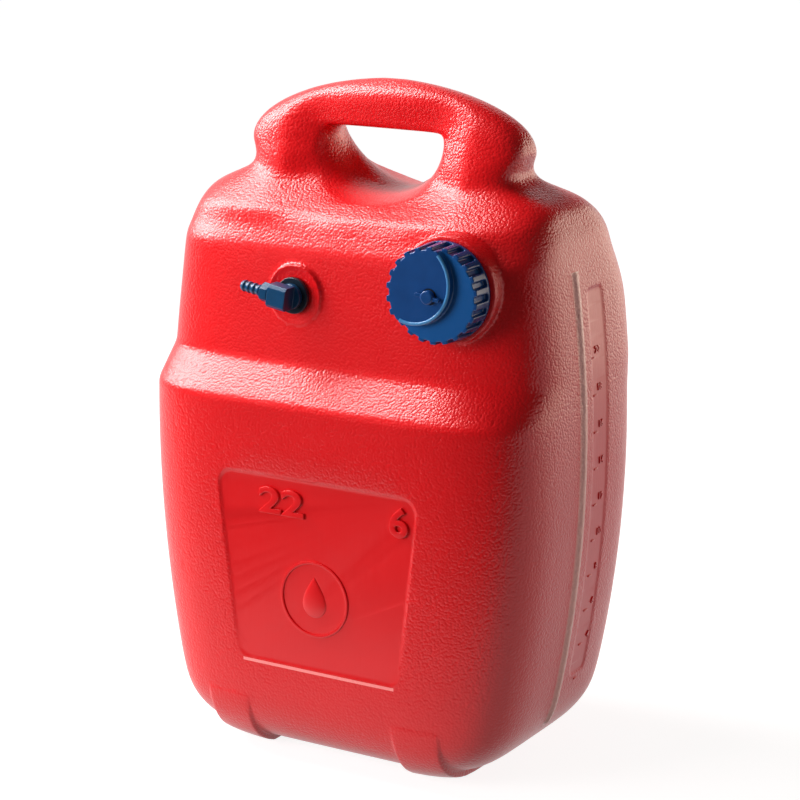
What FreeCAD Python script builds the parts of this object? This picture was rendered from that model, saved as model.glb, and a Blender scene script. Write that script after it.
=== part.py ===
import FreeCAD, Part
import math
import os

# Outboard fuel tank, millimetres. +Z is up, -Y is the front, the floor is at Z = 0.
V = FreeCAD.Vector

# ---- tank body ----
TANK_HEIGHT = 501.0        # floor to the top of the handle
HALF_WIDTH = 164.7         # at the widest level
FRONT_Y = -107.3           # lower front, at the widest level
BACK_Y = 107.455
SIDE_BOW_R = 905.0         # the sides bow out, seen from the front
FRONT_BOW_R = 9300.0
BACK_BOW_R = 2720.0
WALL = 3.0
BASE_CLEARANCE = 4.0       # underside above the floor, between the runners
BASE_CORNER_R = 48.0
BODY_SQUARENESS = 5.3      # exponent of the rounded rectangle that the body's sections are
BASE_SQUARENESS = 6.1
WAIST_SQUARENESS = 4.5
CREST_SQUARENESS = 2.4

# ---- waist and shoulder under the handle; levels are measured down from the top ----
HANDLE_HEIGHT = 58.3       # waist to the top of the handle
WAIST_Z = TANK_HEIGHT - HANDLE_HEIGHT
WAIST_INSET = 56.2         # inside the widest level, each side
WAIST_HALF_WIDTH = HALF_WIDTH - WAIST_INSET
WAIST_FRONT_Y = -32.75
WAIST_BACK_Y = 33.95
SHOULDER_DEPTH = 62.0      # below the waist, where the body starts to close in
SHOULDER_START_Z = WAIST_Z - SHOULDER_DEPTH
# height from the waist, then how much of the body's width, front and back is left there
SHOULDER_BLEND = [
    (-88.0, 1.00, 1.00, 1.00),
    (-62.0, 1.00, 1.00, 0.82),
    (-45.5, 1.00, 0.79, 0.72),
    (-34.0, 0.93, 0.70, 0.64),
    (-27.0, 0.89, 0.47, 0.47),
    (-19.5, 0.70, 0.25, 0.34),
    (-12.5, 0.20, 0.07, 0.14),
    (-6.0, 0.02, 0.03, 0.06),
    (0.0, 0.00, 0.00, 0.00),
]

# ---- ledge across the front ----
LEDGE_DROP = 79.2          # below the start of the shoulder
LEDGE_HEIGHT = 24.5
LEDGE_STEP = 24.7          # how far the upper front is set back
LEDGE_EASE = 5.0           # the closely spaced levels run on this far past both edges
UPPER_FRONT_DRAFT = 3.6    # degrees
LEDGE_TOP_Z = SHOULDER_START_Z - LEDGE_DROP
LEDGE_LOW_Z = LEDGE_TOP_Z - LEDGE_HEIGHT
WIDEST_DROP = 35.0         # the widest level, below the ledge
WIDEST_Z = LEDGE_LOW_Z - WIDEST_DROP

# ---- handle arch ----
EAR_RISE = 12.7            # above the waist
EAR_Z = WAIST_Z + EAR_RISE
EAR_INSET = 49.7           # inside the widest level, each side
EAR_HALF_WIDTH = HALF_WIDTH - EAR_INSET
HANDLE_MID_Y = 0.25
HANDLE_HALF_DEPTH = 27.5
HANDLE_LEAN = 4.5          # the crest sits this far back of the ears
ARCH_WIDTH_POWER = 1.75
ARCH_DEPTH_POWER = 1.72

# ---- hand hole ----
GRIP_DROP = 36.2           # top of the hole below the top of the handle
GRIP_TOP_Z = TANK_HEIGHT - GRIP_DROP
GRIP_HEIGHT = 45.3
GRIP_BOTTOM_Z = GRIP_TOP_Z - GRIP_HEIGHT
GRIP_END = 63.8            # handle's end post, from the hole to the ear
GRIP_HALF_WIDTH = EAR_HALF_WIDTH - GRIP_END
GRIP_CORNER_R = 6.2
GRIP_LAND = 8.3            # half depth of the straight part of the hole
GRIP_SIDE_FLARE_R = 26.5
GRIP_TOP_FLARE_R = 60.0
GRIP_FRONT_SILL_R = 223.0
GRIP_BACK_SILL_R = 251.0
GRIP_SPREAD = 1.0          # how fast the sill widens once it is past the handle's faces
GRIP_FRONT_ROUNDNESS = 2.3  # exponent of the sill's curve, seen from the front
GRIP_BACK_ROUNDNESS = 1.55
GRIP_BLEND = 20.0          # depth each side of the middle over which one curve turns into the other

# ---- base runners ----
RUNNER_INSET = 84.0        # centre of each runner, inside the widest level
RUNNER_X = HALF_WIDTH - RUNNER_INSET
RUNNER_WIDTH = 36.0
RUNNER_PROUD = 5.4         # how far below the body's underside they reach before they are cut flat
RUNNER_TOP_Z = 49.0
RUNNER_EDGE_R = 2.5

# ---- side ribs, level strip and front panel ----
RIB_Y = -7.35
RIB_WIDTH = 3.7
RIB_PROUD = 1.9
RIB_LOW_Z = 35.0
RIB_DROP = 6.0             # top of the ribs below the start of the shoulder
RIB_TOP_Z = SHOULDER_START_Z - RIB_DROP
STRIP_Y = 19.55
STRIP_WIDTH = 24.7
STRIP_DEPTH = 0.9
STRIP_LOW_Z = 68.0
STRIP_DROP = 19.0
STRIP_TOP_Z = SHOULDER_START_Z - STRIP_DROP
PANEL_DROP = 52.4          # top of the panel below the ledge
PANEL_TOP_Z = LEDGE_LOW_Z - PANEL_DROP
PANEL_LOW_Z = 78.5
PANEL_TOP_INSET = 77.9     # ends of the panel's top edge, inside the widest level
PANEL_LOW_INSET = 93.9
PANEL_TOP_HALF_WIDTH = HALF_WIDTH - PANEL_TOP_INSET
PANEL_LOW_HALF_WIDTH = HALF_WIDTH - PANEL_LOW_INSET
PANEL_CORNER_R = 13.4
PANEL_DEPTH = 2.2
PANEL_EDGE = 2.2           # width of the sloping edge round the panel

# ---- filler neck and cap; heights run outwards from the cap's seat ----
FILLER_INSET = 72.6        # inside the widest level
FILLER_X = HALF_WIDTH - FILLER_INSET
FILLER_DROP = 12.0         # below the start of the shoulder
FILLER_Z = SHOULDER_START_Z - FILLER_DROP
NECK_BOSS_R = 38.6
NECK_BOSS_DEPTH = 18.0     # how far the boss's skirt reaches back into the body
NECK_BOSS_PROUD = 1.8
NECK_BOSS_EDGE_R = 1.6
NECK_R = 27.0
NECK_BORE_R = 22.5
CAP_SEAT_GAP = 0.4
THREAD_PITCH = 4.5
THREAD_TURNS = 1.5
THREAD_START = 3.4
THREAD_HEIGHT = 1.6
THREAD_BASE = 2.2
THREAD_CREST = 0.9
THREAD_GAP = 0.45
THREAD_ROOT = 0.6          # the ridge is sunk this far into its wall
CAP_HEIGHT = 23.3
CAP_GROOVE_R = 32.5
CAP_TOOTH_R = 35.4
CAP_TOOTH_TAPER = 0.8
CAP_TOOTH_WIDTH = 5.3
CAP_TOOTH_EDGE_R = 1.0
CAP_TEETH = 22
CAP_BASE_RING = 3.0
CAP_BORE_R = 29.2
CAP_TOP_WALL = 3.0
CAP_STEP = 5.1             # the raised face stands this far above the finger recess
CAP_FACE_R = 30.4
CAP_FACE_X = -13.9
CAP_FACE_Z = 8.8
CAP_EDGE_R = 0.8
CAP_ROOF = CAP_HEIGHT - CAP_STEP - CAP_TOP_WALL
GASKET_THICKNESS = 2.2
NECK_LENGTH = CAP_ROOF - GASKET_THICKNESS
GASKET_BORE_R = 21.4
BAFFLE_R = 17.0
BAFFLE_RING_WALL = 2.0
BAFFLE_RING_DEPTH = 6.2
BAFFLE_THICKNESS = 1.4
BAFFLE_HOLES = 6
BAFFLE_HOLE_R = 1.6

# ---- vent screw ----
VENT_R = 3.0
VENT_HEAD_R = 4.9
VENT_HEAD_HEIGHT = 4.4
VENT_DOME = 1.2
VENT_WING_LENGTH = 19.5
VENT_WING_THICKNESS = 2.7
VENT_WING_LIFT = 0.4
VENT_WING_ANGLE = -10.0
VENT_TRAVEL = 2.5
VENT_SEAL_R = 5.6
VENT_SEAL_THICKNESS = 1.6
VENT_AIR_SLOT = 1.2
CLIP_R = 5.0
CLIP_THICKNESS = 0.8
CLIP_GROOVE_DEPTH = 0.8
CLIP_TOP = CAP_ROOF - VENT_TRAVEL - 0.3

# ---- outlet gland and elbow; heights run outwards from the pad ----
OUTLET_X = -32.6
OUTLET_DROP = 28.2         # below the start of the shoulder
OUTLET_Z = SHOULDER_START_Z - OUTLET_DROP
PAD_R = 22.2
PAD_PROUD = 1.8
PAD_RIM = 2.0
PAD_RIM_HEIGHT = 0.8
PAD_THICKNESS = 7.2
GLAND_HOLE_R = 8.0
BUSH_R = 7.9
BUSH_FLANGE_R = 13.3
BUSH_FLANGE = 3.0
BUSH_BORE_R = 5.5
BUSH_INNER_LENGTH = 10.5   # behind the pad's inner face
WASHER_R = 11.8
WASHER_THICKNESS = 1.0
INNER_WASHER_R = 12.6
NUT_FLATS = 24.0
NUT_THICKNESS = 6.0
TAIL_R = 4.2
TAIL_LENGTH = 14.0
ELBOW_GAP = 0.3
POST_R = 9.3
POST_HEIGHT = 1.2          # round foot under the arm
ARM_HEIGHT = 17.2          # across the arm, seen from the front
ARM_DEPTH = 14.4           # front to back
ARM_CHAMFER = 2.4
ARM_HEEL = 4.0             # how far the arm reaches past the swivel axis
ARM_LENGTH = 11.5
ARM_ANGLE = 9.0            # degrees above the horizontal, pointing to -X
ARM_SOCKET_R = 4.6
ARM_SOCKET_DEPTH = 7.0
SPIGOT_LENGTH = 12.0
FLOW_R = 2.2
SNAP_RING_WIRE = 1.1
SNAP_RING_IN_SPIGOT = 0.6
SNAP_RING_IN_BUSH = 0.7
SNAP_RING_SETBACK = 2.4    # below the elbow's foot
O_RING_WIRE = 1.3
O_RING_SETBACK = 7.6       # below the elbow's foot
RUNNING_GAP = 0.05
COLLAR_FLATS = 12.8
COLLAR_LENGTH = 6.4
BARB_SEAL_R = 6.1
BARB_SEAL_THICKNESS = 0.9
BARB_SPIGOT_LENGTH = 6.0
BARB_CREST_R = 4.3
BARB_ROOT_R = 3.5
BARB_TIP_R = 3.2
BARB_RIDGES = 4
BARB_LAND = 1.0
BARB_LEAD = 2.2
BARB_GROOVE = 1.1
BARB_NECK_LENGTH = 2.0     # plain part between the collar and the first ridge

# ---- pickup ----
TUBE_R = 6.2
TUBE_BEND_R = 36.0
TUBE_GRIP = 12.0           # length of tube pushed over the tail
TUBE_RUN_IN = 5.0          # straight run past the end of the tail, before the bend
CLAMP_WIDTH = 6.0
CLAMP_WALL = 0.9
CLAMP_EAR = 5.0
CLAMP_EAR_GAP = 1.4
CLAMP_BOLT_R = 1.3
FOOT_R = 10.5
FOOT_HEIGHT = 24.0
FOOT_SPIGOT = 10.0
FOOT_FLOOR_GAP = 3.0
FOOT_FLANGE = 2.4
FOOT_COLUMN = 3.0
GAUZE_WALL = 0.5
FIT_GAP = 0.05

# ---- fineness of the skins ----
BORE_PASS = 20.0           # cutters run on this far past what they cut
GRIP_FLARE_STEPS = (0.0, 7.0, 13.0, 18.0, 22.0, 25.0, 32.0, 42.0, 54.0, 66.0, 80.0)
SILL_STEPS = 8
LINTEL_STEPS = 5
SECTION_POINTS = 48
BODY_STEPS = 8
LEDGE_STEPS = 11
UPPER_STEPS = 3
SHOULDER_STEPS = 11
EAR_STEPS = 2
BASE_ANGLES = (0, 18, 36, 54, 72, 90)
ARCH_ANGLES = (14, 28, 42, 54, 65, 75, 83)


def ramp(points, value):
    """Monotone cubic through (position, value) points."""
    xs = [p[0] for p in points]
    ys = [p[1] for p in points]
    if value <= xs[0]:
        return ys[0]
    if value >= xs[-1]:
        return ys[-1]
    steps = [xs[i + 1] - xs[i] for i in range(len(xs) - 1)]
    slopes = [(ys[i + 1] - ys[i]) / steps[i] for i in range(len(steps))]
    tangents = [0.0]
    for i in range(1, len(slopes)):
        if slopes[i - 1] * slopes[i] <= 0.0:
            tangents.append(0.0)
            continue
        w1 = 2.0 * steps[i] + steps[i - 1]
        w2 = steps[i] + 2.0 * steps[i - 1]
        tangents.append((w1 + w2) / (w1 / slopes[i - 1] + w2 / slopes[i]))
    tangents.append(0.0)
    k = max(i for i in range(len(steps)) if xs[i] <= value)
    t = (value - xs[k]) / steps[k]
    return ((2 * t ** 3 - 3 * t ** 2 + 1) * ys[k] + (t ** 3 - 2 * t ** 2 + t) * steps[k] * tangents[k]
            + (3 * t ** 2 - 2 * t ** 3) * ys[k + 1] + (t ** 3 - t ** 2) * steps[k] * tangents[k + 1])


def arc_drop(distance, radius):
    """How far a circle of this radius has fallen away at this distance from its top."""
    d = min(max(distance, 0.0), radius * 0.995)
    return radius - math.sqrt(radius ** 2 - d ** 2)


def smooth_step(low, high, z):
    t = min(max((z - low) / (high - low), 0.0), 1.0)
    return t * t * (3.0 - 2.0 * t)


def body_profile(z, inset):
    """Half width, front and back of the body proper, below the shoulder."""
    corner_r = BASE_CORNER_R - inset
    corner = arc_drop(BASE_CLEARANCE + BASE_CORNER_R - z, corner_r)
    away = (z - WIDEST_Z) ** 2 / 2.0
    half = HALF_WIDTH - inset - away / SIDE_BOW_R - corner
    front = FRONT_Y + inset + away / FRONT_BOW_R + corner
    front += LEDGE_STEP * min(max((z - LEDGE_LOW_Z) / LEDGE_HEIGHT, 0.0), 1.0)
    front += max(z - LEDGE_TOP_Z, 0.0) * math.tan(math.radians(UPPER_FRONT_DRAFT))
    back = BACK_Y - inset - away / BACK_BOW_R - corner
    return half, front, back


def shoulder_share(z, column):
    """Share of the body's outline that is left at height z, as it closes in to the waist."""
    return ramp([(row[0], row[column]) for row in SHOULDER_BLEND], z - WAIST_Z)


def profile(z, inset=0.0):
    """Half width, front, back and squareness at height z, moved in from the outside by inset."""
    square = ramp([(BASE_CLEARANCE, BASE_SQUARENESS), (BASE_CLEARANCE + BASE_CORNER_R, BODY_SQUARENESS),
                   (SHOULDER_START_Z, BODY_SQUARENESS), (WAIST_Z, WAIST_SQUARENESS),
                   (TANK_HEIGHT, CREST_SQUARENESS)], z)
    waist = (WAIST_HALF_WIDTH - inset, WAIST_FRONT_Y + inset, WAIST_BACK_Y - inset)
    half_depth = HANDLE_HALF_DEPTH - inset
    ear = (EAR_HALF_WIDTH - inset, HANDLE_MID_Y - half_depth, HANDLE_MID_Y + half_depth)
    if z <= WAIST_Z:
        body = body_profile(z, inset)
        shares = [shoulder_share(z + inset, column) for column in (1, 2, 3)]
        return [w + (b - w) * share for w, b, share in zip(waist, body, shares)] + [square]
    if z <= EAR_Z:
        t = smooth_step(WAIST_Z, EAR_Z, z)
        return [w + (e - w) * t for w, e in zip(waist, ear)] + [square]
    rise = (z - EAR_Z) / (TANK_HEIGHT - inset - EAR_Z)
    left = max(1.0 - rise ** 2, 0.0)
    half = ear[0] * left ** (1.0 / ARCH_WIDTH_POWER)
    depth = half_depth * left ** (1.0 / ARCH_DEPTH_POWER)
    middle = HANDLE_MID_Y + HANDLE_LEAN * rise
    return [half, middle - depth, middle + depth, square]


def level_heights(inset):
    """Section heights, closer together where the outline turns quickly."""
    low = BASE_CLEARANCE + inset
    high = TANK_HEIGHT - inset
    radius = BASE_CORNER_R - inset
    heights = [low + radius * (1.0 - math.cos(math.radians(a))) for a in BASE_ANGLES]
    under = LEDGE_LOW_Z - LEDGE_EASE
    over = LEDGE_TOP_Z + LEDGE_EASE
    spans = [(heights[-1], under, BODY_STEPS), (under, over, LEDGE_STEPS),
             (over, SHOULDER_START_Z, UPPER_STEPS), (SHOULDER_START_Z, WAIST_Z, SHOULDER_STEPS),
             (WAIST_Z, EAR_Z, EAR_STEPS)]
    for bottom, top, steps in spans:
        heights += [bottom + (top - bottom) * k / steps for k in range(1, steps + 1)]
    heights += [EAR_Z + (high - EAR_Z) * math.sin(math.radians(a)) for a in ARCH_ANGLES]
    return heights


def section_points(half, front, back, square, z):
    """Control points of a rounded rectangle (a superellipse) at height z, from the middle of the back."""
    middle = (front + back) / 2.0
    depth = (back - front) / 2.0
    points = []
    for k in range(SECTION_POINTS):
        a = math.pi / 2.0 + 2.0 * math.pi * k / SECTION_POINTS
        c = math.cos(a)
        s = math.sin(a)
        rho = (abs(c) ** square + abs(s) ** square) ** (-1.0 / square)
        points.append(V(half * rho * c, middle + depth * rho * s, z))
    return points


def skin(rows):
    """Solid with one smooth side that follows closed rows of control points, and two flat ends."""
    around = len(rows[0])
    along = len(rows)
    poles = [[row[k] for row in rows] for k in range(around)]
    surface = Part.BSplineSurface()
    surface.buildFromPolesMultsKnots(poles, [1] * (around + 1), [4] + [1] * (along - 4) + [4],
                                     list(range(around + 1)), list(range(along - 2)), True, False, 3, 3)
    side = surface.toShape()
    ends = [Part.Face(Part.Wire([edge])) for edge in side.Edges if edge.isClosed()]
    shell = Part.Shell([side] + ends)
    shell.sewShape()
    solid = Part.Solid(shell)
    if solid.Volume < 0:
        solid.reverse()
    return solid


def body_form(inset):
    """The outside of the moulding, moved in by inset."""
    return skin([section_points(*profile(z, inset), z) for z in level_heights(inset)])


def front_at(z):
    return profile(z)[1]


def cylinder(radius, low, high):
    return Part.makeCylinder(radius, high - low, V(0, 0, low))


def ring(outer, inner, low, high):
    return cylinder(outer, low, high).cut(cylinder(inner, low - 1.0, high + 1.0))


def round_edge(shape, radius, height, fillet):
    """Rounds the circular edge of this radius at this height."""
    edges = [edge for edge in shape.Edges if abs(edge.BoundBox.ZMin - height) < 0.01
             and abs(edge.BoundBox.ZMax - height) < 0.01 and abs(edge.BoundBox.XMax - radius) < 0.01]
    return shape.makeFillet(fillet, edges)


def revolve(points):
    """Solid of revolution about Z of an outline given as (radius, height) points."""
    outline = Part.makePolygon([V(r, 0, h) for r, h in points + points[:1]])
    return Part.Face(outline).revolve(V(0, 0, 0), V(0, 0, 1), 360)


def hexagon(flats, low, high):
    """Hexagonal bar along Z, two of its flats facing +X and -X."""
    corner = flats / math.sqrt(3.0)
    points = [V(corner * math.cos(math.radians(a)), corner * math.sin(math.radians(a)), low)
              for a in range(30, 391, 60)]
    return Part.Face(Part.makePolygon(points)).extrude(V(0, 0, high - low))


def outward(shape, x, y, z):
    """Moves a shape built up the Z axis so that it points out of the front, along -Y."""
    placed = shape.copy()
    placed.rotate(V(0, 0, 0), V(1, 0, 0), 90)
    placed.translate(V(x, y, z))
    return placed


def screw_ridge(radius, height, outward_sign, start_angle):
    """Thread ridge on a wall of this radius, standing out (1) or in (-1)."""
    helix = Part.makeHelix(THREAD_PITCH, THREAD_PITCH * THREAD_TURNS, radius)
    root = radius - outward_sign * THREAD_ROOT
    crest = radius + outward_sign * height
    points = [V(root, 0, -THREAD_BASE / 2), V(crest, 0, -THREAD_CREST / 2),
              V(crest, 0, THREAD_CREST / 2), V(root, 0, THREAD_BASE / 2)]
    outline = Part.makePolygon(points + points[:1])
    ridge = Part.Wire([helix]).makePipeShell([outline], True, True)
    ridge.translate(V(0, 0, THREAD_START))
    ridge.rotate(V(0, 0, 0), V(0, 0, 1), start_angle)
    return ridge


CAP_SEAT_Y = front_at(FILLER_Z) - NECK_BOSS_PROUD - CAP_SEAT_GAP
PAD_Y = front_at(OUTLET_Z) - PAD_PROUD


# ---- the moulding ----

def grip_points(y, grow):
    """Outline of the hand hole at depth y: a round-bottomed D with a flat top."""
    beyond = abs(y - HANDLE_MID_Y) - GRIP_LAND
    sill_r = GRIP_FRONT_SILL_R if y < HANDLE_MID_Y else GRIP_BACK_SILL_R
    top = GRIP_TOP_Z + arc_drop(beyond, GRIP_TOP_FLARE_R) + grow
    bottom = GRIP_BOTTOM_Z - arc_drop(beyond, sill_r) - grow
    half = GRIP_HALF_WIDTH + arc_drop(beyond, GRIP_SIDE_FLARE_R) + grow
    half += GRIP_SPREAD * max(beyond - GRIP_SIDE_FLARE_R, 0.0)
    corner = GRIP_CORNER_R + grow
    backward = smooth_step(HANDLE_MID_Y - GRIP_BLEND, HANDLE_MID_Y + GRIP_BLEND, y)
    power = GRIP_FRONT_ROUNDNESS + (GRIP_BACK_ROUNDNESS - GRIP_FRONT_ROUNDNESS) * backward
    lowest = corner / (top - bottom)
    right = [(half - corner, top), (half - 0.35 * corner, top - 0.12 * corner)]
    for k in range(SILL_STEPS):
        down = lowest + (1.0 - lowest) * math.sin(math.pi / 2 * k / SILL_STEPS)
        right.append((half * (1.0 - down ** power) ** (1.0 / power), top - (top - bottom) * down))
    left = [(-x, z) for x, z in reversed(right)]
    lintel = []
    for k in range(1, LINTEL_STEPS):
        lintel.append(((half - corner) * (2.0 * k / LINTEL_STEPS - 1.0), top))
    return [V(x, y, z) for x, z in right + [(0.0, bottom)] + left + lintel]


def grip_hole(grow):
    """The hand hole, flaring to the front and the back."""
    reach = [GRIP_LAND + step for step in GRIP_FLARE_STEPS]
    depths = [HANDLE_MID_Y - d for d in reversed(reach)] + [HANDLE_MID_Y + d for d in reach]
    return skin([grip_points(y, grow) for y in depths])


def runners(outside):
    """Two runners that the tank stands on: the body moved straight down, cut flat at the floor."""
    lowered = outside.copy()
    lowered.translate(V(0, 0, -RUNNER_PROUD))
    reach = 2 * HALF_WIDTH
    block = Part.makeBox(RUNNER_WIDTH, 2 * reach, RUNNER_TOP_Z, V(-RUNNER_WIDTH / 2, -reach, 0))
    block = block.makeFillet(RUNNER_EDGE_R, [edge for edge in block.Edges if edge.BoundBox.ZMax < 0.1
                                             and edge.BoundBox.XLength < 0.1])
    shapes = []
    for side in (-1, 1):
        one = block.copy()
        one.translate(V(side * RUNNER_X, 0, 0))
        shapes.append(one.common(lowered))
    return shapes


def side_ribs(inside):
    """Raised mould-line rib down each side, cut from a slightly larger body."""
    proud = body_form(-RIB_PROUD)
    slab = Part.makeBox(4 * HALF_WIDTH, RIB_WIDTH, RIB_TOP_Z - RIB_LOW_Z,
                        V(-2 * HALF_WIDTH, RIB_Y - RIB_WIDTH / 2, RIB_LOW_Z))
    return proud.common(slab).cut(inside)


def level_strip():
    """Shallow smooth strip beside the right-hand rib: what is taken off the body."""
    deep = body_form(STRIP_DEPTH)
    reach = 2 * HALF_WIDTH
    window = Part.makeBox(reach, STRIP_WIDTH, STRIP_TOP_Z - STRIP_LOW_Z,
                          V(0, STRIP_Y - STRIP_WIDTH / 2, STRIP_LOW_Z))
    corners = [edge for edge in window.Edges if edge.BoundBox.XLength > reach - 1.0]
    return window.makeFillet(STRIP_WIDTH / 4, corners).cut(deep)


def panel_wire(y, shrink):
    """Rounded outline of the front panel, wider at the top."""
    top = PANEL_TOP_Z - shrink
    low = PANEL_LOW_Z + shrink
    wide = PANEL_TOP_HALF_WIDTH - shrink
    narrow = PANEL_LOW_HALF_WIDTH - shrink
    prism = Part.Face(Part.makePolygon([V(-wide, y, top), V(wide, y, top), V(narrow, y, low),
                                        V(-narrow, y, low), V(-wide, y, top)])).extrude(V(0, 1, 0))
    corners = [edge for edge in prism.Edges if edge.BoundBox.YLength > 0.9]
    rounded = prism.makeFillet(PANEL_CORNER_R - shrink, corners)
    face = min(rounded.Faces, key=lambda f: f.CenterOfMass.y)
    return face.OuterWire


def panel_pocket(grow):
    """Tapering pocket for the front panel."""
    mouth = panel_wire(FRONT_Y - PANEL_DEPTH, -PANEL_EDGE - grow)
    floor = panel_wire(FRONT_Y + PANEL_DEPTH + grow, PANEL_EDGE - grow)
    return Part.makeLoft([mouth, floor], True, True)


def filler_neck():
    """Boss and threaded neck, in the cap's own frame."""
    face = -CAP_SEAT_GAP
    boss = cylinder(NECK_BOSS_R, -NECK_BOSS_DEPTH, face)
    boss = round_edge(boss, NECK_BOSS_R, face, NECK_BOSS_EDGE_R)
    neck = boss.fuse(cylinder(NECK_R, face - WALL, NECK_LENGTH))
    return neck.fuse(screw_ridge(NECK_R, THREAD_HEIGHT, 1, 0.0))


def filler_way():
    """What is bored out of the boss and neck, in the cap's own frame."""
    way = cylinder(NECK_BOSS_R - WALL, -NECK_BOSS_DEPTH - BORE_PASS, -CAP_SEAT_GAP - WALL)
    return way.fuse(cylinder(NECK_BORE_R, -NECK_BOSS_DEPTH, NECK_LENGTH + 1.0))


def outlet_pad():
    """Round pad with a raised rim round the gland's hole, in the outlet's own frame."""
    pad = cylinder(PAD_R, -PAD_THICKNESS, 0.0)
    pad = pad.fuse(ring(PAD_R, PAD_R - PAD_RIM, -1.0, PAD_RIM_HEIGHT))
    return pad, cylinder(GLAND_HOLE_R, -PAD_THICKNESS - BORE_PASS, 1.0)


def tank_shell():
    outside = body_form(0.0)
    inside = body_form(WALL)
    shell = outside.cut(level_strip()).cut(panel_pocket(0.0)).cut(grip_hole(0.0))
    for runner in runners(outside):
        shell = shell.fuse(runner)
    shell = shell.cut(inside.cut(grip_hole(WALL)).cut(panel_pocket(WALL)))
    shell = shell.fuse(side_ribs(inside))
    pad, pad_hole = outlet_pad()
    shell = shell.fuse(outward(filler_neck(), FILLER_X, CAP_SEAT_Y, FILLER_Z))
    shell = shell.fuse(outward(pad, OUTLET_X, PAD_Y, OUTLET_Z))
    shell = shell.cut(outward(filler_way(), FILLER_X, CAP_SEAT_Y, FILLER_Z))
    return shell.cut(outward(pad_hole, OUTLET_X, PAD_Y, OUTLET_Z))


# ---- cap assembly, heights from the cap's seat ----

def tooth_outline(crest, half, z):
    root = CAP_GROOVE_R - 1.0
    corners = [(root, -half), (crest, -half), (crest, half), (root, half), (root, -half)]
    return Part.makePolygon([V(x, y, z) for x, y in corners])


def cap_teeth():
    """Grip ridges round the skirt, tapering towards the front."""
    half = CAP_TOOTH_WIDTH / 2
    foot = tooth_outline(CAP_TOOTH_R, half, 0.0)
    tip = tooth_outline(CAP_TOOTH_R - CAP_TOOTH_TAPER, half - CAP_TOOTH_TAPER / 2, CAP_HEIGHT)
    tooth = Part.makeLoft([foot, tip], True, True)
    tips = [edge for edge in tooth.Edges if edge.BoundBox.ZLength > CAP_HEIGHT - 0.1
            and edge.BoundBox.XMin > CAP_GROOVE_R]
    tooth = tooth.makeFillet(CAP_TOOTH_EDGE_R, tips)
    teeth = []
    for k in range(CAP_TEETH):
        one = tooth.copy()
        one.rotate(V(0, 0, 0), V(0, 0, 1), 360.0 * (k + 0.5) / CAP_TEETH)
        teeth.append(one)
    return teeth


def cap_recess():
    """Crescent finger recess: everything above the step except the off-centre raised face."""
    step_z = CAP_HEIGHT - CAP_STEP
    face = round_edge(cylinder(CAP_FACE_R, step_z - 1.0, CAP_HEIGHT), CAP_FACE_R, CAP_HEIGHT, CAP_EDGE_R)
    face.translate(V(CAP_FACE_X, CAP_FACE_Z, 0))
    return cylinder(2 * CAP_TOOTH_R, step_z, CAP_HEIGHT + 1.0).cut(face)


def cap_core():
    """The round skirt without its teeth, its front edge rounded."""
    return round_edge(cylinder(CAP_GROOVE_R, 0.0, CAP_HEIGHT), CAP_GROOVE_R, CAP_HEIGHT, CAP_EDGE_R)


def cap_body():
    body = cap_core().fuse(cylinder(CAP_TOOTH_R, 0.0, CAP_BASE_RING))
    body = body.fuse(cap_teeth())
    body = body.cut(cap_recess())
    body = body.cut(cylinder(CAP_BORE_R, -1.0, CAP_ROOF))
    baffle_seat = CAP_ROOF - BAFFLE_RING_DEPTH
    body = body.fuse(ring(BAFFLE_R + BAFFLE_RING_WALL, BAFFLE_R, baffle_seat, CAP_ROOF + 0.5))
    body = body.fuse(screw_ridge(CAP_BORE_R, CAP_BORE_R - NECK_R - THREAD_GAP, -1, 180.0))
    body = body.cut(cylinder(VENT_R + RUNNING_GAP, CAP_ROOF - 1.0, CAP_HEIGHT + 1.0))
    return body.cut(cylinder(VENT_SEAL_R + FIT_GAP, CAP_HEIGHT - VENT_SEAL_THICKNESS, CAP_HEIGHT + 1.0))


def cap_gasket():
    return ring(CAP_BORE_R - FIT_GAP, GASKET_BORE_R, NECK_LENGTH, NECK_LENGTH + GASKET_THICKNESS)


def cap_baffle():
    """Splash disc plugged into the ring under the cap's roof, pierced to let air through."""
    seat = CAP_ROOF - BAFFLE_RING_DEPTH
    disc = cylinder(BAFFLE_R + BAFFLE_RING_WALL, seat - BAFFLE_THICKNESS, seat)
    disc = disc.fuse(cylinder(BAFFLE_R - FIT_GAP, seat - BAFFLE_THICKNESS, seat + BAFFLE_THICKNESS))
    for k in range(BAFFLE_HOLES):
        hole = cylinder(BAFFLE_HOLE_R, seat - 2 * BAFFLE_THICKNESS, seat + 2 * BAFFLE_THICKNESS)
        hole.translate(V(BAFFLE_R * 0.6, 0, 0))
        hole.rotate(V(0, 0, 0), V(0, 0, 1), 360.0 * k / BAFFLE_HOLES)
        disc = disc.cut(hole)
    return disc


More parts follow.
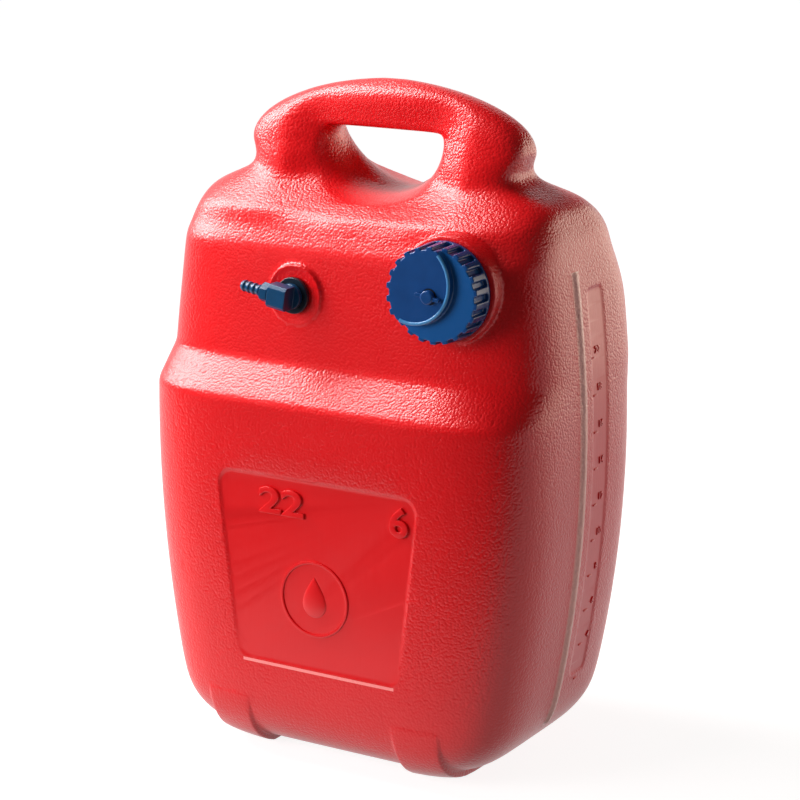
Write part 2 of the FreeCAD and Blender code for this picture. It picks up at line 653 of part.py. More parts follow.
def vent_screw():
    """Wing-headed screw with an air slot down its shank."""
    end = CLIP_TOP - 2 * CLIP_THICKNESS
    screw = cylinder(VENT_R, end, CAP_HEIGHT + 0.5)
    head = cylinder(VENT_HEAD_R, CAP_HEIGHT, CAP_HEIGHT + VENT_HEAD_HEIGHT)
    head = round_edge(head, VENT_HEAD_R, CAP_HEIGHT + VENT_HEAD_HEIGHT, VENT_DOME)
    wing = Part.makeBox(VENT_WING_LENGTH, VENT_WING_THICKNESS, VENT_HEAD_HEIGHT - VENT_DOME,
                        V(-VENT_WING_LENGTH / 2, -VENT_WING_THICKNESS / 2, CAP_HEIGHT + VENT_WING_LIFT))
    upright = [edge for edge in wing.Edges if edge.BoundBox.ZLength > 1.0]
    wing = wing.makeFillet(VENT_WING_THICKNESS / 2.1, upright)
    wing.rotate(V(0, 0, 0), V(0, 0, 1), VENT_WING_ANGLE)
    screw = screw.fuse(head).fuse(wing)
    slot = Part.makeBox(VENT_AIR_SLOT, 2 * VENT_R, CAP_HEIGHT - VENT_SEAL_THICKNESS - end,
                        V(-VENT_AIR_SLOT / 2, VENT_R - VENT_AIR_SLOT, end - 0.01))
    groove = ring(VENT_R + 1.0, VENT_R - CLIP_GROOVE_DEPTH, CLIP_TOP - CLIP_THICKNESS - FIT_GAP,
                  CLIP_TOP + FIT_GAP)
    return screw.cut(slot).cut(groove)


def vent_seal():
    return ring(VENT_SEAL_R, VENT_R + FIT_GAP, CAP_HEIGHT - VENT_SEAL_THICKNESS, CAP_HEIGHT)


def vent_clip():
    """Open retaining ring in the shank's groove."""
    clip = ring(CLIP_R, VENT_R - CLIP_GROOVE_DEPTH + FIT_GAP, CLIP_TOP - CLIP_THICKNESS, CLIP_TOP)
    gap_low = V(0, -VENT_R / 2, CLIP_TOP - 2 * CLIP_THICKNESS)
    gap = Part.makeBox(2 * CLIP_R, VENT_R, 4 * CLIP_THICKNESS, gap_low)
    return clip.cut(gap)


# ---- outlet, heights from the pad's face ----

BUSH_SEAT = WASHER_THICKNESS
BUSH_TOP = BUSH_SEAT + BUSH_FLANGE
ELBOW_FOOT = BUSH_TOP + ELBOW_GAP
BUSH_END = -PAD_THICKNESS - BUSH_INNER_LENGTH
ARM_AXIS = ELBOW_FOOT + POST_HEIGHT + ARM_DEPTH / 2
SPIGOT_R = BUSH_BORE_R - RUNNING_GAP
BUSH_SPIGOT_END = ELBOW_FOOT - SPIGOT_LENGTH - 1.0


def gland_outer_washer():
    return ring(WASHER_R, BUSH_R + FIT_GAP, 0.0, WASHER_THICKNESS)


def gland_inner_washer():
    return ring(INNER_WASHER_R, BUSH_R + FIT_GAP, -PAD_THICKNESS - WASHER_THICKNESS, -PAD_THICKNESS)


def gland_nut():
    top = -PAD_THICKNESS - WASHER_THICKNESS
    nut = hexagon(NUT_FLATS, top - NUT_THICKNESS, top)
    return nut.cut(cylinder(BUSH_R + FIT_GAP, top - NUT_THICKNESS - 1.0, top + 1.0))


def gland_bush():
    bush = cylinder(BUSH_R, BUSH_END, BUSH_TOP)
    flange = cylinder(BUSH_FLANGE_R, BUSH_SEAT, BUSH_TOP)
    bush = bush.fuse(round_edge(flange, BUSH_FLANGE_R, BUSH_TOP, BUSH_FLANGE / 4))
    bush = bush.fuse(cylinder(TAIL_R, BUSH_END - TAIL_LENGTH, BUSH_END + 1.0))
    bush = bush.cut(cylinder(BUSH_BORE_R, BUSH_SPIGOT_END, BUSH_TOP + 1.0))
    bush = bush.cut(cylinder(FLOW_R, BUSH_END - TAIL_LENGTH - 1.0, BUSH_TOP))
    middle = ELBOW_FOOT - SNAP_RING_SETBACK
    groove = ring(BUSH_BORE_R + SNAP_RING_IN_BUSH, FLOW_R, middle - SNAP_RING_WIRE / 2 - FIT_GAP,
                  middle + SNAP_RING_WIRE / 2 + FIT_GAP)
    return bush.cut(groove)


def elbow_snap_ring():
    """Split ring, half in the bush's groove and half in the spigot's."""
    middle = ELBOW_FOOT - SNAP_RING_SETBACK
    outer = BUSH_BORE_R + SNAP_RING_IN_BUSH - FIT_GAP
    inner = SPIGOT_R - SNAP_RING_IN_SPIGOT + RUNNING_GAP
    wire = ring(outer, inner, middle - SNAP_RING_WIRE / 2, middle + SNAP_RING_WIRE / 2)
    gap = Part.makeBox(2 * outer, SNAP_RING_WIRE, 2 * SNAP_RING_WIRE,
                       V(0, -SNAP_RING_WIRE / 2, middle - SNAP_RING_WIRE))
    return wire.cut(gap)


def elbow_o_ring():
    radius = SPIGOT_R + RUNNING_GAP / 2 - O_RING_WIRE / 2
    return Part.makeTorus(radius, O_RING_WIRE / 2, V(0, 0, ELBOW_FOOT - O_RING_SETBACK))


def along_arm(shape):
    """Moves a shape built up the Z axis so that it lies along the elbow's arm."""
    placed = shape.copy()
    placed.rotate(V(0, 0, 0), V(0, 1, 0), -90)
    placed.rotate(V(0, 0, 0), V(0, 0, 1), -ARM_ANGLE)
    placed.translate(V(0, 0, ARM_AXIS))
    return placed


def chamfered_hexagon(flats, low, high):
    """Hexagonal bar whose corners are taken off at its far end."""
    corner = flats / math.sqrt(3.0)
    shoulder = high - (corner - flats / 2)
    turned = revolve([(0, low), (corner, low), (corner, shoulder), (flats / 2, high), (0, high)])
    return hexagon(flats, low, high).common(turned)


def spigot_groove(depth, middle, width):
    return ring(SPIGOT_R + 1.0, SPIGOT_R - depth, middle - width / 2 - FIT_GAP, middle + width / 2 + FIT_GAP)


def arm_block():
    """Bar of the elbow's arm, its long edges chamfered, from its heel to its open end."""
    block = Part.makeBox(ARM_DEPTH, ARM_HEIGHT, ARM_HEEL + ARM_LENGTH,
                         V(-ARM_DEPTH / 2, -ARM_HEIGHT / 2, -ARM_HEEL))
    return block.makeChamfer(ARM_CHAMFER, [edge for edge in block.Edges if edge.BoundBox.ZLength > 1.0])


def outlet_elbow():
    """Round foot, arm and the spigot that turns in the bush."""
    post = cylinder(POST_R, ELBOW_FOOT, ELBOW_FOOT + POST_HEIGHT + ARM_CHAMFER)
    spigot = cylinder(SPIGOT_R, ELBOW_FOOT - SPIGOT_LENGTH, ELBOW_FOOT + 1.0)
    elbow = post.fuse(along_arm(arm_block())).fuse(spigot)
    elbow = elbow.cut(cylinder(FLOW_R, ELBOW_FOOT - SPIGOT_LENGTH - 1.0, ARM_AXIS))
    elbow = elbow.cut(along_arm(cylinder(FLOW_R, 0.0, ARM_LENGTH + 1.0)))
    elbow = elbow.cut(along_arm(cylinder(ARM_SOCKET_R, ARM_LENGTH - ARM_SOCKET_DEPTH, ARM_LENGTH + 1.0)))
    elbow = elbow.cut(spigot_groove(SNAP_RING_IN_SPIGOT, ELBOW_FOOT - SNAP_RING_SETBACK, SNAP_RING_WIRE))
    return elbow.cut(spigot_groove(O_RING_WIRE, ELBOW_FOOT - O_RING_SETBACK, O_RING_WIRE))


def barb_seal():
    return along_arm(ring(BARB_SEAL_R, ARM_SOCKET_R, ARM_LENGTH, ARM_LENGTH + BARB_SEAL_THICKNESS))


def barb_ridges(z):
    """Outline of the ridges from height z, and the height of the tip."""
    outline = []
    for k in range(BARB_RIDGES):
        foot = BARB_TIP_R if k == BARB_RIDGES - 1 else BARB_ROOT_R
        outline += [(BARB_ROOT_R, z), (BARB_CREST_R, z), (BARB_CREST_R, z + BARB_LAND),
                    (foot, z + BARB_LAND + BARB_LEAD)]
        z += BARB_LAND + BARB_LEAD + BARB_GROOVE
    return outline, z - BARB_GROOVE


def hose_barb():
    """Hexagon-collared tail with ridges that grip the hose, and a spigot in the elbow's arm."""
    seat = ARM_LENGTH + BARB_SEAL_THICKNESS
    end = seat - BARB_SPIGOT_LENGTH
    spigot_r = ARM_SOCKET_R - FIT_GAP
    ridges, tip = barb_ridges(seat + COLLAR_LENGTH + BARB_NECK_LENGTH)
    outline = [(0, end), (spigot_r, end), (spigot_r, seat + 1.0), (BARB_ROOT_R, seat + 1.0)]
    barb = revolve(outline + ridges + [(0, tip)])
    barb = barb.fuse(chamfered_hexagon(COLLAR_FLATS, seat, seat + COLLAR_LENGTH))
    return along_arm(barb.cut(cylinder(FLOW_R, end - 1.0, tip + 1.0)))


# ---- pickup, in the tank's frame ----

TAIL_END_Y = PAD_Y - BUSH_END + TAIL_LENGTH
BEND_Y = TAIL_END_Y + TUBE_RUN_IN
DROP_Y = BEND_Y + TUBE_BEND_R
BEND_Z = OUTLET_Z - TUBE_BEND_R
FOOT_Z = BASE_CLEARANCE + WALL + FOOT_FLOOR_GAP


def tube_solid(radius):
    """Round bar along the pickup's route: in from the gland, round the bend and down to the foot."""
    lead_in = V(OUTLET_X, TAIL_END_Y - TUBE_GRIP, OUTLET_Z)
    lead = Part.makeCylinder(radius, TUBE_RUN_IN + TUBE_GRIP, lead_in, V(0, 1, 0))
    circle = Part.Face(Part.Wire([Part.makeCircle(radius, V(OUTLET_X, BEND_Y, OUTLET_Z), V(0, 1, 0))]))
    bend = circle.revolve(V(OUTLET_X, BEND_Y, BEND_Z), V(-1, 0, 0), 90)
    foot_top = FOOT_Z + FOOT_HEIGHT
    fall = Part.makeCylinder(radius, BEND_Z - foot_top, V(OUTLET_X, DROP_Y, foot_top))
    return lead.fuse(bend).fuse(fall)


def pickup_tube():
    return tube_solid(TUBE_R).cut(tube_solid(TAIL_R + FIT_GAP)).removeSplitter()


def tube_clamp():
    """Band with two ears and a bolt, round the tube over the gland's tail; in the outlet's own frame."""
    middle = BUSH_END - TAIL_LENGTH / 2
    low = middle - CLAMP_WIDTH / 2
    inner = TUBE_R + FIT_GAP
    outer = inner + CLAMP_WALL
    spread = CLAMP_WALL + CLAMP_EAR_GAP / 2
    ears = Part.makeBox(2 * spread, CLAMP_EAR + CLAMP_WALL, CLAMP_WIDTH, V(-spread, inner + 0.1, low))
    band = ring(outer, inner, low, low + CLAMP_WIDTH).fuse(ears)
    gap_low = V(-CLAMP_EAR_GAP / 2, TUBE_R / 2, low - 1.0)
    gap = Part.makeBox(CLAMP_EAR_GAP, 2 * outer, CLAMP_WIDTH + 2.0, gap_low)
    bolt_half = spread + CLAMP_BOLT_R
    bolt_end = V(-bolt_half, outer + CLAMP_EAR / 2, middle)
    bolt = Part.makeCylinder(CLAMP_BOLT_R, 2 * bolt_half, bolt_end, V(1, 0, 0))
    return band.cut(gap).fuse(bolt)


def foot_placed(shape):
    placed = shape.copy()
    placed.translate(V(OUTLET_X, DROP_Y, FOOT_Z))
    return placed


def strainer_body():
    """Foot with a spigot for the tube and columns that hold the gauze open."""
    top = FOOT_HEIGHT
    body = cylinder(FOOT_R, top - FOOT_FLANGE, top)
    body = body.fuse(cylinder(TAIL_R, top - 1.0, top + FOOT_SPIGOT))
    post_r = FOOT_R - FOOT_COLUMN / 2 - GAUZE_WALL - FIT_GAP
    for k in range(4):
        column = cylinder(FOOT_COLUMN / 2, FOOT_FLANGE, top - FOOT_FLANGE + 0.5)
        column.translate(V(post_r, 0, 0))
        column.rotate(V(0, 0, 0), V(0, 0, 1), 90.0 * k)
        body = body.fuse(column)
    foot_outer = FOOT_R - GAUZE_WALL - FIT_GAP
    body = body.fuse(ring(foot_outer, post_r - FOOT_COLUMN / 2, FOOT_FLANGE, 2 * FOOT_FLANGE))
    return foot_placed(body.cut(cylinder(FLOW_R, 0.0, top + FOOT_SPIGOT + 1.0)))


def strainer_gauze():
    return foot_placed(ring(FOOT_R, FOOT_R - GAUZE_WALL, FOOT_FLANGE, FOOT_HEIGHT - FOOT_FLANGE))


def strainer_end_cap():
    cap = cylinder(FOOT_R, 0.0, FOOT_FLANGE)
    inner = FOOT_R - GAUZE_WALL - FOOT_COLUMN - 2 * FIT_GAP
    return foot_placed(cap.fuse(cylinder(inner, FOOT_FLANGE - 0.5, FOOT_FLANGE + FOOT_COLUMN)))


ON_CAP = [cap_body, cap_gasket, cap_baffle, vent_screw, vent_seal, vent_clip]
ON_OUTLET = [gland_bush, gland_outer_washer, gland_inner_washer, gland_nut, outlet_elbow, elbow_o_ring,
             elbow_snap_ring, hose_barb, barb_seal, tube_clamp]
IN_TANK = [tank_shell, pickup_tube, strainer_body, strainer_gauze, strainer_end_cap]


def main():
    os.makedirs("parts", exist_ok=True)
    nodes = [(make, make()) for make in IN_TANK]
    nodes += [(make, outward(make(), FILLER_X, CAP_SEAT_Y, FILLER_Z)) for make in ON_CAP]
    nodes += [(make, outward(make(), OUTLET_X, PAD_Y, OUTLET_Z)) for make in ON_OUTLET]
    for make, shape in nodes:
        shape.exportStep("parts/" + make.__name__ + ".step")


main()
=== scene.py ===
import bpy
import math
from mathutils import Matrix, Vector


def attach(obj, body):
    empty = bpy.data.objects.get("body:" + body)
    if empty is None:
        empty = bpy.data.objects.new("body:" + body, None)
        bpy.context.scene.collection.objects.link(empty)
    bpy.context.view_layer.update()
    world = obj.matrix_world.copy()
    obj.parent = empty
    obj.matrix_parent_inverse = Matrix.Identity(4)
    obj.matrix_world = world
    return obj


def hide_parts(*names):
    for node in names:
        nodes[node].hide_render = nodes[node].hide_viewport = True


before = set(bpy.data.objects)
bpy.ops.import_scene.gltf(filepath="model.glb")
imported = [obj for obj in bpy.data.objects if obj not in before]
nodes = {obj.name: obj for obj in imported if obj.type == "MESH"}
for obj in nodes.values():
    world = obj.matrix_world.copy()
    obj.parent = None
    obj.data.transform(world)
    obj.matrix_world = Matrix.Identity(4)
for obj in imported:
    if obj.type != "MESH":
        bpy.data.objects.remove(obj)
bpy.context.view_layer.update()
bpy.ops.object.select_all(action="DESELECT")
print("frame loaded,", len(nodes), "nodes")


def linear(hexColour):
    channels = [int(hexColour[i:i + 2], 16) / 255 for i in (1, 3, 5)]
    return [c / 12.92 if c <= 0.04045 else ((c + 0.055) / 1.055) ** 2.4 for c in channels] + [1.0]


def addNode(tree, kind, sockets=None, **settings):
    node = tree.nodes.new(kind)
    for name, value in settings.items():
        setattr(node, name, value)
    for name, value in (sockets or {}).items():
        if isinstance(value, bpy.types.NodeSocket):
            tree.links.new(value, node.inputs[name])
        else:
            node.inputs[name].default_value = value
    return node


def startMaterial(name, colour, roughness, ior=1.5, metallic=0.0):
    material = bpy.data.materials.new(name)
    material.use_nodes = True
    shader = material.node_tree.nodes["Principled BSDF"]
    shader.inputs["Base Color"].default_value = linear(colour)
    shader.inputs["Roughness"].default_value = roughness
    shader.inputs["Metallic"].default_value = metallic
    if not metallic:
        shader.inputs["IOR"].default_value = ior
    where = addNode(material.node_tree, "ShaderNodeTexCoord").outputs["Object"]
    return material, material.node_tree, shader, where


def selectOnly(piece):
    bpy.ops.object.select_all(action="DESELECT")
    piece.select_set(True)
    bpy.context.view_layer.objects.active = piece


def selectFaces(piece, wanted):
    # faces are picked by their centre, then edit mode is entered with only those selected
    selectOnly(piece)
    bpy.ops.object.mode_set(mode="EDIT")
    bpy.context.tool_settings.mesh_select_mode = (False, False, True)
    bpy.ops.mesh.select_all(action="DESELECT")
    bpy.ops.object.mode_set(mode="OBJECT")
    for face in piece.data.polygons:
        face.select = wanted(face.center)
    bpy.ops.object.mode_set(mode="EDIT")


def selectVertices(piece, wanted):
    selectOnly(piece)
    bpy.ops.object.mode_set(mode="EDIT")
    bpy.context.tool_settings.mesh_select_mode = (True, False, False)
    bpy.ops.mesh.select_all(action="DESELECT")
    bpy.ops.object.mode_set(mode="OBJECT")
    for vertex in piece.data.vertices:
        vertex.select = wanted(vertex.co)
    bpy.ops.object.mode_set(mode="EDIT")


def copyNode(nodeName, pieceName):
    piece = bpy.data.objects.new(pieceName, nodes[nodeName].data.copy())
    bpy.context.scene.collection.objects.link(piece)
    selectOnly(piece)
    bpy.ops.object.mode_set(mode="EDIT")
    bpy.ops.mesh.select_all(action="SELECT")
    bpy.ops.mesh.remove_doubles(threshold=tank["seamGap"])
    bpy.ops.object.mode_set(mode="OBJECT")
    return piece


def applyModifier(piece, kind, **settings):
    selectOnly(piece)
    modifier = piece.modifiers.new(kind.lower(), kind)
    for name, value in settings.items():
        setattr(modifier, name, value)
    bpy.ops.object.modifier_apply(modifier=modifier.name)


def thinOut(piece, triangles):
    made = sum(len(face.vertices) - 2 for face in piece.data.polygons)
    if made > triangles:
        applyModifier(piece, "DECIMATE", ratio=triangles / made)
    selectOnly(piece)
    bpy.ops.object.shade_smooth()
    print(piece.name, made, "triangles, kept", len(piece.data.polygons))


def soften(piece, finish, staysCrisp=lambda spot: False):
    # the sharp edges of the solid become the small radii that a moulding has
    applyModifier(piece, "REMESH", mode="VOXEL", voxel_size=finish["voxel"], adaptivity=0.0)
    soft = piece.vertex_groups.new(name="soft")
    soft.add([v.index for v in piece.data.vertices if not staysCrisp(v.co)], 1.0, "REPLACE")
    applyModifier(piece, "SMOOTH", factor=0.5, iterations=finish["passes"], vertex_group="soft")


def paint(piece, material):
    piece.data.materials.clear()
    piece.data.materials.append(material)


tank = {
    "voxel": 0.00125,
    "passes": 2,
    "holeHalf": 0.0535,        # the hand hole opens towards the front like a funnel
    "holeLow": 0.4170,
    "holeTop": 0.4675,
    "rimFrontY": -0.012,
    "rimBack": 0.011,          # the rim is set back by this much
    "rimNarrow": 0.92,
    "rimReach": 0.030,
    "rimPasses": 24,
    "seamGap": 0.00001,        # points closer than this are one
    "triangles": 188000,
    "red": "#e11319",
    "redDeep": "#d71117",
    "cloudWidth": 0.045,       # how wide the faint darker patches are
    "paintedRibHighlight": "#ffbdb6",      # a painted highlight along the mould line's rib
    "paintedEdgeHighlight": "#ff8f8b",       # a painted highlight along the panel's lower edge
    "lipHalf": 0.0650,
    "lipLow": 0.0774,
    "lipTop": 0.0797,
    "grainWidth": 0.0019,      # one pebble of the leather grain
    "grainDepth": 0.00030,
    "grainBend": 0.0003,       # pebbles are pushed out of line by up to this much
    "grainBendWidth": 0.004,
    "domePower": 1.6,          # above 1 the pebbles are flatter on top
    "polishLine": 0.0011,      # fine upright lines left by polishing the panel
    "polishStretch": 0.03,
    "polishShare": 0.25,       # how deep they are beside the grain
    "ribY": -0.00735,
    "ribPaleHalf": 0.0032,     # painted highlight right across, then fading out
    "ribFadeHalf": 0.0066,
    "ribFromX": 0.128,
    "ribLow": 0.034,
    "ribTop": 0.376,
    "panelTop": 0.2224,        # the panel and the level strip were polished in the mould
    "panelLow": 0.0807,
    "panelTopHalf": 0.0846,
    "panelLowHalf": 0.0686,
    "panelBehindY": -0.0950,
    "crispHalf": 0.0920,       # round the panel the skin isn't smoothed, so its edge stays sharp
    "crispLow": 0.0730,
    "crispTop": 0.2300,
    "stripMiddle": 0.01955,
    "stripHalf": 0.0118,
    "stripLow": 0.069,
    "stripTop": 0.361,
    "stripFromX": 0.120,
    "fillerX": 0.0921,
    "fillerZ": 0.3687,
    "neckHalf": 0.0294,
    "neckRim": 0.0292,
    "neckCutY": -0.0803,
    "neckReach": 0.030,
}


def inNeck(centre):
    away = math.hypot(centre.x - tank["fillerX"], centre.z - tank["fillerZ"])
    return away < tank["neckHalf"] and centre.y < tank["neckCutY"] + tank["neckReach"]


def cutNeck(piece, keepNeck):
    # the neck keeps its crisp edges, so it is parted from the shell just outside the boss
    selectFaces(piece, inNeck)
    bpy.ops.mesh.bisect(plane_co=(0, tank["neckCutY"], 0), plane_no=(0, -1, 0),
                        clear_inner=keepNeck, clear_outer=not keepNeck)
    bpy.context.tool_settings.mesh_select_mode = (False, True, False)
    bpy.ops.object.mode_set(mode="OBJECT")
    for edge in piece.data.edges:
        ends = [piece.data.vertices[i].co for i in edge.vertices]
        away = [math.hypot(p.x - tank["fillerX"], p.z - tank["fillerZ"]) for p in ends]
        onCut = all(abs(p.y - tank["neckCutY"]) < tank["seamGap"] for p in ends)
        edge.select = onCut and max(away) < tank["neckRim"]
    bpy.ops.object.mode_set(mode="EDIT")
    bpy.ops.mesh.bridge_edge_loops()
    bpy.ops.object.mode_set(mode="OBJECT")


def onPanelEdge(spot):
    return (spot.y < tank["panelBehindY"] and abs(spot.x) < tank["crispHalf"]
            and tank["crispLow"] < spot.z < tank["crispTop"])


tankSkin = copyNode("tank_shell", "tankSkin")
cutNeck(tankSkin, keepNeck=False)
soften(tankSkin, tank, onPanelEdge)
thinOut(tankSkin, tank["triangles"])


def onRim(spot):
    return (abs(spot.x) < tank["holeHalf"] and spot.y < tank["rimFrontY"]
            and tank["holeLow"] < spot.z < tank["holeTop"])


selectVertices(tankSkin, onRim)
bpy.ops.transform.resize(value=(tank["rimNarrow"], 1, 1), center_override=(0, 0, tank["holeTop"]),
                         use_proportional_edit=True, proportional_edit_falloff="SMOOTH",
                         proportional_size=tank["rimReach"])
bpy.ops.transform.translate(value=(0, tank["rimBack"], 0), use_proportional_edit=True,
                            proportional_edit_falloff="SMOOTH", proportional_size=tank["rimReach"])
bpy.ops.object.mode_set(mode="OBJECT")
# the rim is smoothed most at the hole's edge, less and less away from it
rim = tankSkin.vertex_groups.new(name="rim")
for vertex in tankSkin.data.vertices:
    across = max(abs(vertex.co.x) - tank["holeHalf"], 0.0)
    under = max(tank["holeLow"] - vertex.co.z, 0.0)
    share = 1.0 - math.hypot(across, under) / tank["rimReach"]
    if share > 0.0 and vertex.co.y < 0.0 and vertex.co.z > tank["holeLow"] - tank["rimReach"]:
        rim.add([vertex.index], share, "REPLACE")
applyModifier(tankSkin, "SMOOTH", factor=0.5, iterations=tank["rimPasses"], vertex_group="rim")

fillerNeck = copyNode("tank_shell", "fillerNeck")
selectFaces(fillerNeck, lambda centre: not inNeck(centre))
bpy.ops.mesh.delete(type="FACE")
bpy.ops.object.mode_set(mode="OBJECT")
cutNeck(fillerNeck, keepNeck=True)
selectOnly(fillerNeck)
bpy.ops.object.shade_smooth_by_angle(angle=math.radians(30))
print("tank skin and neck made")

# plain plastics and rubber: an even colour in faint darker and lighter patches
twoTone = {
    # material: base colour, roughness, index of refraction, width of a patch, darker, lighter
    "hdpePolished": (tank["red"], 0.30, 1.52, tank["cloudWidth"], tank["redDeep"], tank["red"]),
    "polypropyleneMoulded": ("#15417a", 0.27, 1.49, 0.012, "#133b70", "#184784"),
    # the cap's bead: a paler blue, a painted highlight
    "polypropylenePaintedHighlight": ("#3f7fb5", 0.22, 1.49, 0.004, "#2f6ca3", "#5593c4"),
    "nylonMoulded": ("#0f3f66", 0.33, 1.53, 0.006, "#0d3859", "#124873"),
    "nitrileRubber": ("#17171a", 0.62, 1.52, 0.003, "#141416", "#232327"),
    "naturalPolyethylene": ("#e4e2d8", 0.42, 1.51, 0.008, "#dad8cc", "#ebe9e1"),
}
materials = {}
shades = {}
for name, (colour, roughness, ior, patch, darker, lighter) in twoTone.items():
    materials[name], tree, shader, where = startMaterial(name, colour, roughness, ior)
    cloud = addNode(tree, "ShaderNodeTexNoise", {"Vector": where, "Scale": 1 / patch, "Detail": 3.0})
    # socket 0 of a mix is the factor, 6 and 7 the two colours
    shades[name] = addNode(tree, "ShaderNodeMix",
                           {0: cloud.outputs["Fac"], 6: linear(darker), 7: linear(lighter)}, data_type="RGBA")
    tree.links.new(shades[name].outputs[2], shader.inputs["Base Color"])

# high-density polyethylene, blow moulded against an etched leather grain: small satin pebbles that sparkle
hdpeGrained, tree, shader, where = startMaterial("hdpeLeatherGrain", tank["red"], 0.30, 1.52)
axes = addNode(tree, "ShaderNodeSeparateXYZ", {"Vector": where}).outputs
fromMiddle = addNode(tree, "ShaderNodeMath", {0: axes["X"]}, operation="ABSOLUTE").outputs[0]
panelHalf = addNode(tree, "ShaderNodeMapRange",
                    {"Value": axes["Z"], "From Min": tank["panelLow"], "From Max": tank["panelTop"],
                     "To Min": tank["panelLowHalf"], "To Max": tank["panelTopHalf"]}).outputs[0]
edgesOf = {
    "panel": [(axes["Y"], "LESS_THAN", tank["panelBehindY"]), (axes["Z"], "GREATER_THAN", tank["panelLow"]),
              (axes["Z"], "LESS_THAN", tank["panelTop"]), (fromMiddle, "LESS_THAN", panelHalf)],
    "strip": [(axes["X"], "GREATER_THAN", tank["stripFromX"]), (axes["Z"], "GREATER_THAN", tank["stripLow"]),
              (axes["Z"], "LESS_THAN", tank["stripTop"]),
              (axes["Y"], "GREATER_THAN", tank["stripMiddle"] - tank["stripHalf"]),
              (axes["Y"], "LESS_THAN", tank["stripMiddle"] + tank["stripHalf"])],
    "rib": [(fromMiddle, "GREATER_THAN", tank["ribFromX"]), (axes["Z"], "GREATER_THAN", tank["ribLow"]),
            (axes["Z"], "LESS_THAN", tank["ribTop"])],
    "lip": [(axes["Y"], "LESS_THAN", tank["panelBehindY"]), (fromMiddle, "LESS_THAN", tank["lipHalf"]),
            (axes["Z"], "GREATER_THAN", tank["lipLow"]), (axes["Z"], "LESS_THAN", tank["lipTop"])],
}
within = {}
for area, edges in edgesOf.items():
    within[area] = 1.0
    for value, side, limit in edges:
        test = addNode(tree, "ShaderNodeMath", {0: value, 1: limit}, operation=side).outputs[0]
        both = addNode(tree, "ShaderNodeMath", {0: within[area], 1: test}, operation="MULTIPLY")
        within[area] = both.outputs[0]

cloud = addNode(tree, "ShaderNodeTexNoise", {"Vector": where, "Scale": 1 / tank["cloudWidth"], "Detail": 3.0})
shade = addNode(tree, "ShaderNodeMix",
                {0: cloud.outputs["Fac"], 6: linear(tank["redDeep"]), 7: linear(tank["red"])},
                data_type="RGBA")
# a painted highlight along the mould-line rib on each side
fromRib = addNode(tree, "ShaderNodeMath", {0: axes["Y"], 1: tank["ribY"]}, operation="SUBTRACT").outputs[0]
fromRib = addNode(tree, "ShaderNodeMath", {0: fromRib}, operation="ABSOLUTE").outputs[0]
pale = addNode(tree, "ShaderNodeMapRange",
               {"Value": fromRib, "From Min": tank["ribPaleHalf"], "From Max": tank["ribFadeHalf"],
                "To Min": within["rib"], "To Max": 0.0})
withRibHighlight = addNode(tree, "ShaderNodeMix",
                  {0: pale.outputs[0], 6: shade.outputs[2], 7: linear(tank["paintedRibHighlight"])}, data_type="RGBA")
# a painted highlight along the panel's lower edge
paintedEdgeHighlight = addNode(tree, "ShaderNodeMix",
                 {0: within["lip"], 6: withRibHighlight.outputs[2], 7: linear(tank["paintedEdgeHighlight"])}, data_type="RGBA")
tree.links.new(paintedEdgeHighlight.outputs[2], shader.inputs["Base Color"])

# the grain stops at the polished panel and at the level strip
smooth = addNode(tree, "ShaderNodeMath", {0: within["panel"], 1: within["strip"]}, operation="ADD").outputs[0]
wander = addNode(tree, "ShaderNodeTexNoise",
                 {"Vector": where, "Scale": 1 / tank["grainBendWidth"], "Detail": 2.0})
bend = tank["grainBend"]
bent = addNode(tree, "ShaderNodeVectorMath", {0: wander.outputs["Color"], 1: (bend, bend, bend), 2: where},
               operation="MULTIPLY_ADD")
pebbles = addNode(tree, "ShaderNodeTexVoronoi",
                  {"Vector": bent.outputs[0], "Scale": 1 / tank["grainWidth"]})
domes = addNode(tree, "ShaderNodeMath", {0: pebbles.outputs["Distance"], 1: tank["domePower"]},
                operation="POWER")
stretched = addNode(tree, "ShaderNodeMapping", {"Vector": where, "Scale": (1, 1, tank["polishStretch"])})
polish = addNode(tree, "ShaderNodeTexNoise",
                 {"Vector": stretched.outputs[0], "Scale": 1 / tank["polishLine"], "Detail": 2.0})
lines = addNode(tree, "ShaderNodeMath", {0: polish.outputs["Fac"], 1: tank["polishShare"]},
                operation="MULTIPLY")
relief = addNode(tree, "ShaderNodeMix", {0: smooth, 2: domes.outputs[0], 3: lines.outputs[0]})
bump = addNode(tree, "ShaderNodeBump",
               {"Height": relief.outputs[0], "Strength": 1.0, "Distance": tank["grainDepth"]}, invert=True)
tree.links.new(bump.outputs["Normal"], shader.inputs["Normal"])

for piece in (tankSkin, fillerNeck):
    paint(piece, hdpeGrained)
    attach(piece, "tank")
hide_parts("tank_shell")
print("tank painted")


figures = {
    "panelFloorY": -0.1051,
    "proud": 0.0015,
    "sunk": 0.0006,
    "edge": 0.0005,
    "weight": 0.0003,          # the strokes are this much wider on each side
    "fullHeight": 0.0200,      # edge and weight are for figures this high, and shrink with smaller ones
    "letterHeight": 0.73,      # height of the built-in face's figures, for a size of 1
    "hair": 0.000001,          # points closer than this are one
    # number: left edge, right edge, foot, height
    "litres": ("22", -0.0484, -0.0097, 0.1954, 0.0196),
    "gallons": ("6", 0.0620, 0.0775, 0.1945, 0.0210),
}


